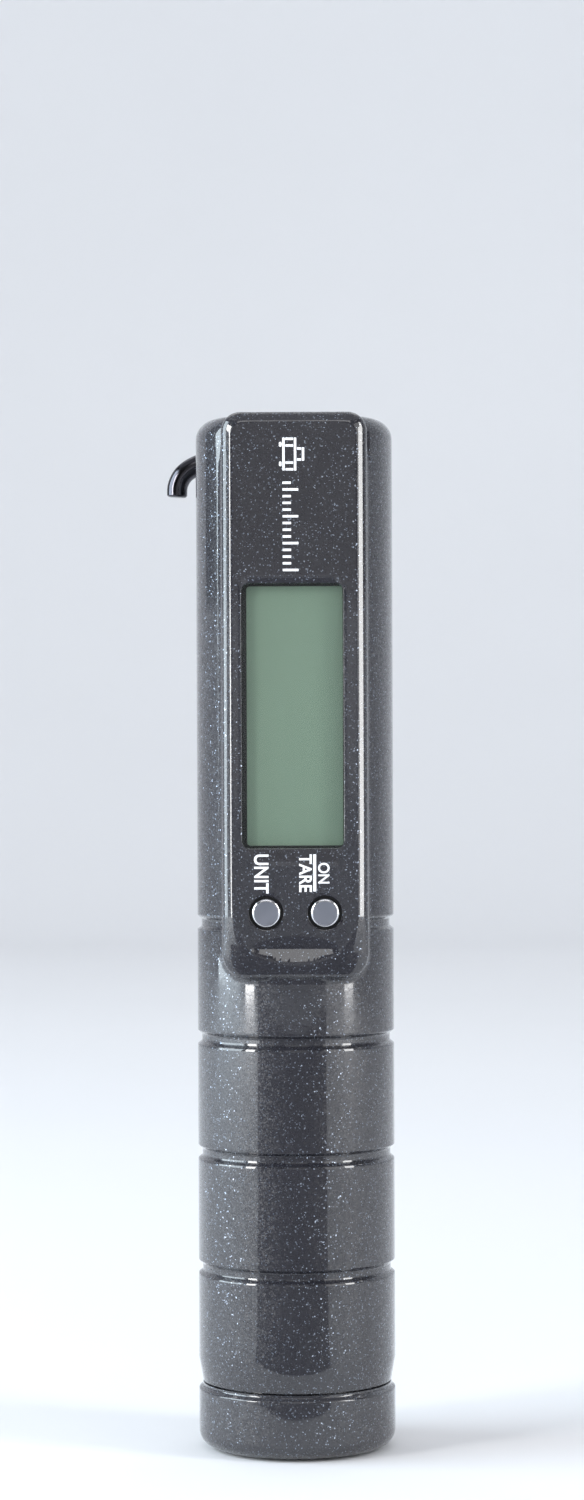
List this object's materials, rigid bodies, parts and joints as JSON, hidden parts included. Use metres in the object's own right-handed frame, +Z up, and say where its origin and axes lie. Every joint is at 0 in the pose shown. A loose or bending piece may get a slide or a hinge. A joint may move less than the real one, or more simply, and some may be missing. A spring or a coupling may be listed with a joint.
{
  "type": "digital luggage scale",
  "caption": "Round hand-held bar with a display at one end, grip rings at the other and a J hook that folds up along its back.",
  "frame": {"origin": "middle of the end cap's flat bottom face, on the bar's axis", "axes": "+Z up the bar towards the display end, -Y is the side the display faces, +X to the right when the display is seen upright"},
  "size_m": [0.0385, 0.0361, 0.1726],
  "materials": {
    "housing": "dark slate plastic with fine silver flake, satin gloss",
    "lens": "clear polished plastic",
    "display": "unlit grey-green liquid crystal display",
    "button": "silver plated plastic, polished bevel and satin top",
    "hook_metal": "gunmetal plated steel, polished",
    "black_plastic": "moulded black plastic",
    "pale_plastic": "moulded white nylon",
    "steel": "zinc plated",
    "aluminium": "machined",
    "circuit_board": "green solder mask",
    "gauge_foil": "polyimide film",
    "rubber": "black rubber",
    "cell_jacket": "plain printed sleeve on steel",
    "red_insulation": "wire insulation",
    "black_insulation": "wire insulation",
    "grey_insulation": "wire insulation"
  },
  "bodies": {
    "housing": {"front_shell": "housing", "rear_shell": "housing", "window_lens": "lens", "lcd_panel": "display", "lcd_frame": "pale_plastic", "contact_strip_lower": "rubber", "contact_strip_upper": "rubber", "main_board": "circuit_board", "chip_cover": "black_plastic", "timing_crystal": "steel", "unit_switch": "black_plastic", "tare_switch": "black_plastic", "load_cell": "aluminium", "strain_gauge_front": "gauge_foil", "strain_gauge_rear": "gauge_foil", "chassis_plate": "steel", "beam_spacer": "steel", "beam_screw_lower": "steel", "beam_screw_upper": "steel", "load_post": "hook_metal", "post_nut": "steel", "post_washer": "steel", "hook_pin": "hook_metal", "housing_screw_lower_left": "steel", "housing_screw_lower_right": "steel", "housing_screw_upper_left": "steel", "housing_screw_upper_right": "steel", "battery_cradle": "black_plastic", "battery_cell_left": "cell_jacket", "battery_cell_right": "cell_jacket", "positive_contact": "steel", "negative_contact": "steel", "negative_spring": "steel", "battery_lead_red": "red_insulation", "battery_lead_black": "black_insulation", "gauge_lead": "grey_insulation"},
    "hook": {"hook": "hook_metal"},
    "unit_button": {"unit_button": "button", "unit_plunger": "black_plastic"},
    "tare_button": {"tare_button": "button", "tare_plunger": "black_plastic"},
    "end_cap": {"end_cap": "housing", "contact_carrier": "black_plastic", "cell_bridge": "steel", "cap_spring": "steel", "cap_seal": "rubber"}
  },
  "joints": [
    {"name": "hook_fold", "type": "hinge", "parent": "housing", "child": "hook", "pos_m": [0, 0.0145, 0.086], "axis": [-1, 0, 0], "range_deg": [0, 95]},
    {"name": "unit_button_press", "type": "slide", "parent": "housing", "child": "unit_button", "axis": [0, 1, 0], "range_m": [0, 0.0006], "stiffness_N_per_m": 600},
    {"name": "tare_button_press", "type": "slide", "parent": "housing", "child": "tare_button", "axis": [0, 1, 0], "range_m": [0, 0.0006], "stiffness_N_per_m": 600},
    {"name": "cap_twist", "type": "hinge", "parent": "housing", "child": "end_cap", "pos_m": [0, 0, 0], "axis": [0, 0, 1], "range_deg": [0, 45]}
  ]
}
